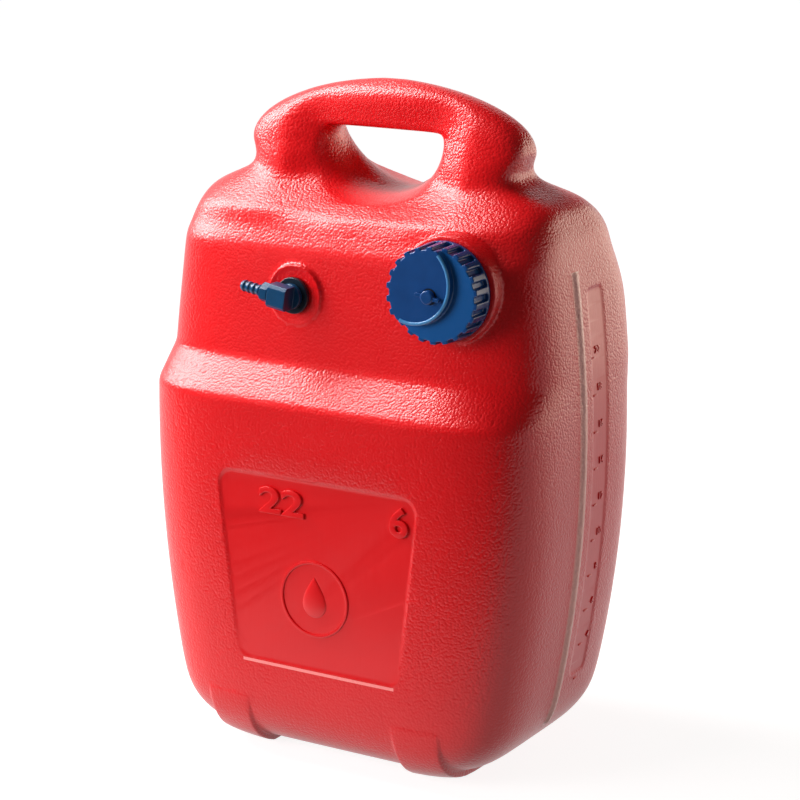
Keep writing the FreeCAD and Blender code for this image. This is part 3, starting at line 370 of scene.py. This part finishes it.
def raisedText(words, name, height, place, proud):
    # a flat figure lies on the XY plane with its face up, then place stands it on the tank
    bpy.ops.object.text_add(location=(0, 0, 0))
    text = bpy.context.object
    text.name = name
    text.data.body = words
    text.data.size = height / figures["letterHeight"]
    text.data.align_x = "CENTER"
    text.data.extrude = proud
    text.data.offset = figures["weight"] * height / figures["fullHeight"]
    text.data.bevel_depth = figures["edge"] * height / figures["fullHeight"]
    text.data.bevel_resolution = 2
    text.data.resolution_u = 6
    selectOnly(text)
    bpy.ops.object.convert(target="MESH")
    text = bpy.context.object
    text.matrix_world = place
    bpy.ops.object.transform_apply(location=True, rotation=True, scale=True)
    return text


facingFront = Matrix.Rotation(math.radians(90), 4, "X")
marks = []
for name in ("litres", "gallons"):
    words, left, right, foot, height = figures[name]
    middle = Vector(((left + right) / 2, figures["panelFloorY"], foot))
    trial = raisedText(words, name + "Trial", height, Matrix(), figures["proud"])
    stretch = (right - left) / trial.dimensions.x
    bpy.ops.object.delete()
    place = Matrix.Translation(middle) @ facingFront @ Matrix.Diagonal((stretch, 1, 1, 1))
    marks.append(raisedText(words, name + "Figure", height, place, figures["proud"]))

panelSign = {
    "x": -0.002,
    "z": 0.135,
    "ringR": 0.0290,
    "ringWidth": 0.0024,
    "ringHeight": 0.0016,
    "ringBevel": 0.0005,
    "dropR": 0.0100,
    "dropDepth": 0.0016,
    "dropPoint": 0.0110,       # how far the top is drawn up
    "dropDown": 0.0040,        # the round part lies this far below the ring's middle
    "dropReach": 1.5,          # radii below the top that are drawn up with it
}
ringFoot = (panelSign["x"], figures["panelFloorY"] + figures["sunk"], panelSign["z"])
bpy.ops.mesh.primitive_circle_add(vertices=96, radius=panelSign["ringR"], fill_type="NGON",
                                  location=ringFoot, rotation=(math.radians(90), 0, 0))
ring = bpy.context.object
ring.name = "panelRing"
bpy.ops.object.transform_apply(location=True, rotation=True, scale=True)
bpy.ops.object.mode_set(mode="EDIT")
bpy.ops.mesh.select_all(action="SELECT")
bpy.ops.mesh.inset(thickness=panelSign["ringWidth"])
bpy.ops.mesh.delete(type="FACE")
bpy.ops.mesh.select_all(action="SELECT")
bpy.ops.mesh.extrude_region_move(TRANSFORM_OT_translate={"value": (0, -panelSign["ringHeight"], 0)})
bpy.ops.mesh.select_all(action="SELECT")
bpy.ops.mesh.normals_make_consistent(inside=False)
bpy.ops.mesh.bevel(offset=panelSign["ringBevel"], segments=2)
bpy.ops.object.mode_set(mode="OBJECT")
marks.append(ring)

bpy.ops.mesh.primitive_uv_sphere_add(segments=48, ring_count=24, radius=panelSign["dropR"],
                                     scale=(1, panelSign["dropDepth"] / panelSign["dropR"], 1),
                                     location=(panelSign["x"], figures["panelFloorY"],
                                               panelSign["z"] - panelSign["dropDown"]))
drop = bpy.context.object
drop.name = "panelDrop"
bpy.ops.object.transform_apply(location=True, rotation=True, scale=True)
topOfDrop = max(v.co.z for v in drop.data.vertices)
selectVertices(drop, lambda spot: spot.z > topOfDrop - figures["hair"])
bpy.ops.transform.translate(value=(0, 0, panelSign["dropPoint"]), use_proportional_edit=True,
                            proportional_edit_falloff="SHARP",
                            proportional_size=panelSign["dropReach"] * panelSign["dropR"])
bpy.ops.object.mode_set(mode="OBJECT")
marks.append(drop)

# marks every two litres on the level strip, each set on the skin by looking in from the side
levels = {
    "firstZ": 0.0940,
    "step": 0.0275,
    "firstFigure": 4,
    "count": 9,
    "proud": 0.0006,
    "fromX": 0.3,              # the skin is looked for from this far out
    "figureHeight": 0.0052,
    "figureLowY": 0.0285,      # the columns lean forwards as they rise
    "figureTopY": 0.0175,
    "barLowY": 0.0190,
    "barTopY": 0.0113,
    "barDrop": 0.0030,         # the bar stands this far below the middle of its figure
    "barLength": 0.0055,
    "barWidth": 0.0013,
    "barBevel": 0.0003,
}
skinShape = tankSkin.evaluated_get(bpy.context.evaluated_depsgraph_get())
# the lowest bar has no figure
for k in range(-1, levels["count"]):
    share = k / (levels["count"] - 1)
    z = levels["firstZ"] + k * levels["step"]
    if k >= 0:
        y = levels["figureLowY"] + (levels["figureTopY"] - levels["figureLowY"]) * share
        found, spot, normal, face = skinShape.ray_cast(Vector((levels["fromX"], y, z)), Vector((-1, 0, 0)))
        lean = Matrix.Rotation(-math.asin(normal.z), 4, "Y")
        sideways = Matrix.Rotation(math.radians(90), 4, "Z") @ facingFront
        words = str(levels["firstFigure"] + 2 * k)
        marks.append(raisedText(words, "level" + words, levels["figureHeight"],
                                Matrix.Translation(spot) @ lean @ sideways, levels["proud"]))
    y = levels["barLowY"] + (levels["barTopY"] - levels["barLowY"]) * share
    barZ = z - levels["barDrop"]
    found, spot, normal, face = skinShape.ray_cast(Vector((levels["fromX"], y, barZ)), Vector((-1, 0, 0)))
    bpy.ops.mesh.primitive_cube_add(size=1, location=spot,
                                    scale=(2 * levels["proud"], levels["barLength"], levels["barWidth"]))
    bar = bpy.context.object
    bar.name = "levelBar" + str(k + 1)
    bpy.ops.object.transform_apply(location=True, rotation=True, scale=True)
    bpy.ops.object.mode_set(mode="EDIT")
    bpy.ops.mesh.select_all(action="SELECT")
    bpy.ops.mesh.bevel(offset=levels["barBevel"], segments=2)
    bpy.ops.object.mode_set(mode="OBJECT")
    marks.append(bar)

selectOnly(marks[0])
for piece in marks:
    piece.select_set(True)
bpy.ops.object.join()
mouldedFigures = bpy.context.object
mouldedFigures.name = "mouldedFigures"
bpy.ops.object.mode_set(mode="EDIT")
bpy.ops.mesh.select_all(action="SELECT")
bpy.ops.mesh.remove_doubles(threshold=figures["hair"])
bpy.ops.mesh.normals_make_consistent(inside=False)
bpy.ops.object.mode_set(mode="OBJECT")
bpy.ops.object.shade_smooth_by_angle(angle=math.radians(40))
paint(mouldedFigures, materials["hdpePolished"])
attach(mouldedFigures, "tank")
print("figures made")


# the floor of the cap's finger recess is painted a lighter blue, a painted reflection
recess = {"reach": 0.0325, "faceY": -0.1020, "colour": "#175290"}
tree = materials["polypropyleneMoulded"].node_tree
where = addNode(tree, "ShaderNodeTexCoord").outputs["Object"]
flat = addNode(tree, "ShaderNodeMapping", {"Vector": where, "Scale": (1, 0, 1)})
axis = (tank["fillerX"], 0, tank["fillerZ"])
fromAxis = addNode(tree, "ShaderNodeVectorMath", {0: flat.outputs[0], 1: axis}, operation="DISTANCE")
depth = addNode(tree, "ShaderNodeSeparateXYZ", {0: where}).outputs["Y"]
onTop = addNode(tree, "ShaderNodeMath", {0: fromAxis.outputs["Value"], 1: recess["reach"]},
                operation="LESS_THAN")
belowFace = addNode(tree, "ShaderNodeMath", {0: depth, 1: recess["faceY"]}, operation="GREATER_THAN")
inRecess = addNode(tree, "ShaderNodeMath", {0: onTop.outputs[0], 1: belowFace.outputs[0]},
                   operation="MULTIPLY")
shade = addNode(tree, "ShaderNodeMix",
                {0: inRecess.outputs[0], 6: shades["polypropyleneMoulded"].outputs[2],
                 7: linear(recess["colour"])}, data_type="RGBA")
tree.links.new(shade.outputs[2], tree.nodes["Principled BSDF"].inputs["Base Color"])

# painted shade: the gland bush in the elbow block's shadow, and its nut, are painted nearly black
materials["nylonPaintedShade"], tree, shader, where = startMaterial("nylonPaintedShade", "#15202c", 0.36, 1.53)

# the fine skin of injection mouldings: polypropylene from a polished tool, nylon with glass fibres
skinDepth = 0.00004
skins = {
    # material: width of its finest marks, their detail, strength
    "polypropyleneMoulded": (0.0009, 2.0, 0.25),
    "nylonMoulded": (0.0006, 3.0, 0.30),
    "nylonPaintedShade": (0.0006, 3.0, 0.30),
}
for name, (width, detail, strength) in skins.items():
    tree = materials[name].node_tree
    where = addNode(tree, "ShaderNodeTexCoord").outputs["Object"]
    skin = addNode(tree, "ShaderNodeTexNoise", {"Vector": where, "Scale": 1 / width, "Detail": detail})
    bump = addNode(tree, "ShaderNodeBump",
                   {"Height": skin.outputs["Fac"], "Strength": strength, "Distance": skinDepth})
    tree.links.new(bump.outputs["Normal"], tree.nodes["Principled BSDF"].inputs["Normal"])

fillerCap = {"node": "cap_body", "body": "cap", "slot": "cap_plastic", "finish": "polypropyleneMoulded",
             "voxel": 0.00050, "passes": 2, "triangles": 110000}
ventScrew = {"node": "vent_screw", "body": "vent", "slot": "cap_plastic", "finish": "polypropyleneMoulded",
             "voxel": 0.00022, "passes": 3, "triangles": 30000}
elbowBlock = {"node": "outlet_elbow", "body": "elbow", "slot": "fitting_plastic", "finish": "nylonMoulded",
              "voxel": 0.00030, "passes": 4, "triangles": 50000}
hoseTail = {"node": "hose_barb", "body": "elbow", "slot": "fitting_plastic", "finish": "nylonMoulded",
            "voxel": 0.00022, "passes": 2, "triangles": 40000}
glandBush = {"node": "gland_bush", "body": "tank", "slot": "fitting_plastic", "finish": "nylonPaintedShade",
             "voxel": 0.00035, "passes": 2, "triangles": 40000}
for pieceName, moulding in (("fillerCap", fillerCap), ("ventScrew", ventScrew), ("elbowBlock", elbowBlock),
                            ("hoseTail", hoseTail), ("glandBush", glandBush)):
    piece = copyNode(moulding["node"], pieceName)
    soften(piece, moulding)
    thinOut(piece, moulding["triangles"])
    paint(piece, materials[moulding["finish"]])
    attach(piece, moulding["body"])
    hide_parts(moulding["node"])
paint(nodes["gland_nut"], materials["nylonPaintedShade"])

# a bead runs along the edge of the cap's raised face, above the finger recess
faceBead = {
    "faceX": tank["fillerX"] - 0.0139,      # the raised face is off the cap's middle
    "faceZ": tank["fillerZ"] + 0.0088,
    "faceY": -0.10301,
    "arcR": 0.0292,
    "beadR": 0.0013,
    "middle": math.radians(-32.3),
    "halfSpan": math.radians(77),
    "steps": 72,
}
start = faceBead["middle"] - faceBead["halfSpan"]
faceMiddle = Vector((faceBead["faceX"], faceBead["faceY"], faceBead["faceZ"]))
beadStart = faceMiddle + faceBead["arcR"] * Vector((math.cos(start), 0, math.sin(start)))
bpy.ops.mesh.primitive_circle_add(vertices=16, radius=faceBead["beadR"], fill_type="NGON",
                                  location=beadStart, rotation=(0, -start, 0))
capBead = bpy.context.object
capBead.name = "capBead"
bpy.ops.object.transform_apply(location=True, rotation=True, scale=True)
bpy.ops.object.mode_set(mode="EDIT")
bpy.ops.mesh.select_all(action="SELECT")
bpy.ops.mesh.spin(steps=faceBead["steps"], angle=2 * faceBead["halfSpan"], axis=(0, 1, 0),
                  center=faceMiddle)
bpy.ops.mesh.select_all(action="SELECT")
bpy.ops.mesh.normals_make_consistent(inside=False)
bpy.ops.object.mode_set(mode="OBJECT")
bpy.ops.object.shade_smooth_by_angle(angle=math.radians(40))
# the bead is painted a paler blue: a painted highlight along it
paint(capBead, materials["polypropylenePaintedHighlight"])
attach(capBead, "cap")
print("cap, vent and outlet made,", len(capBead.data.polygons), "faces in the bead")


# fuel hose, extruded rubber: long faint die lines
hose = {"lineWidth": 0.0012, "lineStretch": 0.08, "lineDepth": 0.0001}
name = "extrudedHoseRubber"
materials[name], tree, shader, where = startMaterial(name, "#1c1c1d", 0.5, 1.52)
stretched = addNode(tree, "ShaderNodeMapping", {"Vector": where, "Scale": (1, 1, hose["lineStretch"])})
lines = addNode(tree, "ShaderNodeTexNoise",
                {"Vector": stretched.outputs[0], "Scale": 1 / hose["lineWidth"], "Detail": 2.0})
bump = addNode(tree, "ShaderNodeBump",
               {"Height": lines.outputs["Fac"], "Strength": 0.4, "Distance": hose["lineDepth"]})
tree.links.new(bump.outputs["Normal"], shader.inputs["Normal"])

# stainless strip and wire, cold rolled: fine lines along the roll
rolledSteel = {"lineWidth": 0.0016, "lineStretch": 12, "smoothest": 0.22, "roughest": 0.38}
name = "stainlessRolled"
materials[name], tree, shader, where = startMaterial(name, "#b9bbbd", 0.28, metallic=1.0)
stretched = addNode(tree, "ShaderNodeMapping", {"Vector": where, "Scale": (1, rolledSteel["lineStretch"], 1)})
lines = addNode(tree, "ShaderNodeTexNoise",
                {"Vector": stretched.outputs[0], "Scale": 1 / rolledSteel["lineWidth"], "Detail": 2.0})
rolled = addNode(tree, "ShaderNodeMapRange",
                 {"Value": lines.outputs["Fac"],
                  "To Min": rolledSteel["smoothest"], "To Max": rolledSteel["roughest"]})
tree.links.new(rolled.outputs[0], shader.inputs["Roughness"])

# woven stainless gauze
gauze = {"waves": 0.0038, "wireDepth": 0.0002}
name = "stainlessGauze"
materials[name], tree, shader, where = startMaterial(name, "#9c9ea0", 0.35, metallic=1.0)
waves = {"Vector": where, "Scale": 1 / gauze["waves"]}
wires = addNode(tree, "ShaderNodeTexWave", waves, bands_direction="Z")
across = addNode(tree, "ShaderNodeTexWave", waves, bands_direction="DIAGONAL")
weave = addNode(tree, "ShaderNodeMath", {0: wires.outputs["Fac"], 1: across.outputs["Fac"]},
                operation="MULTIPLY")
bump = addNode(tree, "ShaderNodeBump",
               {"Height": weave.outputs[0], "Strength": 0.8, "Distance": gauze["wireDepth"]})
tree.links.new(bump.outputs["Normal"], shader.inputs["Normal"])

smallParts = {
    "nitrileRubber": ["cap_gasket", "vent_seal", "elbow_o_ring", "barb_seal",
                      "gland_outer_washer", "gland_inner_washer"],
    "extrudedHoseRubber": ["pickup_tube"],
    "naturalPolyethylene": ["cap_baffle", "strainer_body", "strainer_end_cap"],
    "stainlessRolled": ["vent_clip", "elbow_snap_ring", "tube_clamp"],
    "stainlessGauze": ["strainer_gauze"],
}
for materialName, nodeNames in smallParts.items():
    for nodeName in nodeNames:
        paint(nodes[nodeName], materials[materialName])
print("small parts painted")


studio = {
    "floorSize": 40.0,
    "nearLift": 0.88,          # what is added to the board for the eye and for reflections, near the tank
    "farLift": 0.97,
    "nearReach": 0.6,
    "farReach": 2.2,
    "worldLevel": 0.12,        # light from all round
    "lamps": {
        # name: place, aimed at, width, height, power, colour, seen in reflections
        "keyLamp": ((-0.92, -0.16, 1.17), (0.0, 0.0, 0.30), 0.42, 1.25, 30.0, (1.0, 1.0, 1.0), True),
        "frontLamp": ((-1.12, -1.50, 0.66), (0.0, 0.0, 0.20), 1.0, 1.0, 31.0, (1.0, 1.0, 1.0), False),
        "backLamp": ((1.00, 1.50, 0.50), (0.0, 0.0, 0.25), 2.2, 1.0, 15.0, (1.0, 0.82, 0.62), True),
    },
    "cards": {
        # name: middle, degrees turned up from flat, width, depth
        "frontCard": ((0.0, -0.40, 0.45), 90, 3.2, 0.9),
        "ceilingCard": ((1.0, 0.8, 1.35), 0, 2.6, 4.0),
    },
    "target": (0.0026, 0.00761, 0.2601),
    "distance": 1.885,
    "azimuth": 31.0,
    "elevation": 14.3,
    "lens": 113.36,
}



def seenOrMirrored(tree):
    # 1 for the eye, for mirror images and through glass, 0 for the light that falls on things
    rays = addNode(tree, "ShaderNodeLightPath").outputs
    either = addNode(tree, "ShaderNodeMath", {0: rays["Is Camera Ray"], 1: rays["Is Glossy Ray"]},
                     operation="MAXIMUM")
    anyOfThem = addNode(tree, "ShaderNodeMath", {0: either.outputs[0], 1: rays["Is Transmission Ray"]},
                   operation="MAXIMUM")
    return anyOfThem.outputs[0]


bpy.ops.mesh.primitive_plane_add(size=studio["floorSize"], location=(0, 0, 0))
floor = bpy.context.object
floor.name = "studioFloor"
# painted board, matt grey, lifted to white where it is seen or mirrored
paintedBoard, tree, shader, where = startMaterial("paintedBoard", "#959595", 0.9)
shader.inputs["Specular IOR Level"].default_value = 0.0
seen = seenOrMirrored(tree)
away = addNode(tree, "ShaderNodeVectorMath", {0: where}, operation="LENGTH")
lift = addNode(tree, "ShaderNodeMapRange",
               {"Value": away.outputs["Value"],
                "From Min": studio["nearReach"], "From Max": studio["farReach"],
                "To Min": studio["nearLift"], "To Max": studio["farLift"]}, interpolation_type="SMOOTHSTEP")
lift = addNode(tree, "ShaderNodeMath", {0: seen, 1: lift.outputs[0]}, operation="MULTIPLY")
glow = addNode(tree, "ShaderNodeEmission", {"Color": (1, 1, 1, 1), "Strength": lift.outputs[0]})
total = addNode(tree, "ShaderNodeAddShader", {0: shader.outputs[0], 1: glow.outputs[0]})
tree.links.new(total.outputs[0], tree.nodes["Material Output"].inputs["Surface"])
paint(floor, paintedBoard)

# black cards in front and overhead, only for the reflections, as round a product table
blackVelvet, tree, shader, where = startMaterial("blackVelvet", "#0c0c0c", 1.0)
shader.inputs["Specular IOR Level"].default_value = 0.0
for name, (place, turned, width, depth) in studio["cards"].items():
    bpy.ops.mesh.primitive_plane_add(size=1, location=place, rotation=(math.radians(turned), 0, 0))
    card = bpy.context.object
    card.name = name
    card.scale = (width, depth, 1)
    bpy.ops.object.transform_apply(location=True, rotation=True, scale=True)
    card.visible_camera = False
    card.visible_diffuse = False
    card.visible_shadow = False
    paint(card, blackVelvet)

world = bpy.data.worlds.new("studioWorld")
world.use_nodes = True
bpy.context.scene.world = world
tree = world.node_tree
background = tree.nodes["Background"]
background.inputs["Color"].default_value = (1, 1, 1, 1)
seen = seenOrMirrored(tree)
level = addNode(tree, "ShaderNodeMapRange", {"Value": seen, "To Min": studio["worldLevel"], "To Max": 1.0})
tree.links.new(level.outputs[0], background.inputs["Strength"])


def aim(thing, place, target):
    thing.location = place
    thing.rotation_mode = "QUATERNION"
    thing.rotation_quaternion = (Vector(target) - Vector(place)).to_track_quat("-Z", "Y")


for name, (place, target, width, height, power, colour, mirrored) in studio["lamps"].items():
    light = bpy.data.lights.new(name, "AREA")
    light.shape = "RECTANGLE"
    light.size = width
    light.size_y = height
    light.energy = power
    light.color = colour
    lamp = bpy.data.objects.new(name, light)
    lamp.visible_glossy = mirrored
    bpy.context.scene.collection.objects.link(lamp)
    aim(lamp, place, target)

camera = bpy.data.objects.new("camera", bpy.data.cameras.new("camera"))
bpy.context.scene.collection.objects.link(camera)
camera.data.lens = studio["lens"]
azimuth = math.radians(studio["azimuth"])
elevation = math.radians(studio["elevation"])
level = math.cos(elevation)
back = Vector((math.sin(azimuth) * level, -math.cos(azimuth) * level, math.sin(elevation)))
aim(camera, Vector(studio["target"]) + studio["distance"] * back, studio["target"])
bpy.context.scene.camera = camera
bpy.context.scene.view_settings.view_transform = "Standard"
print("studio set")

bpy.context.view_layer.update()
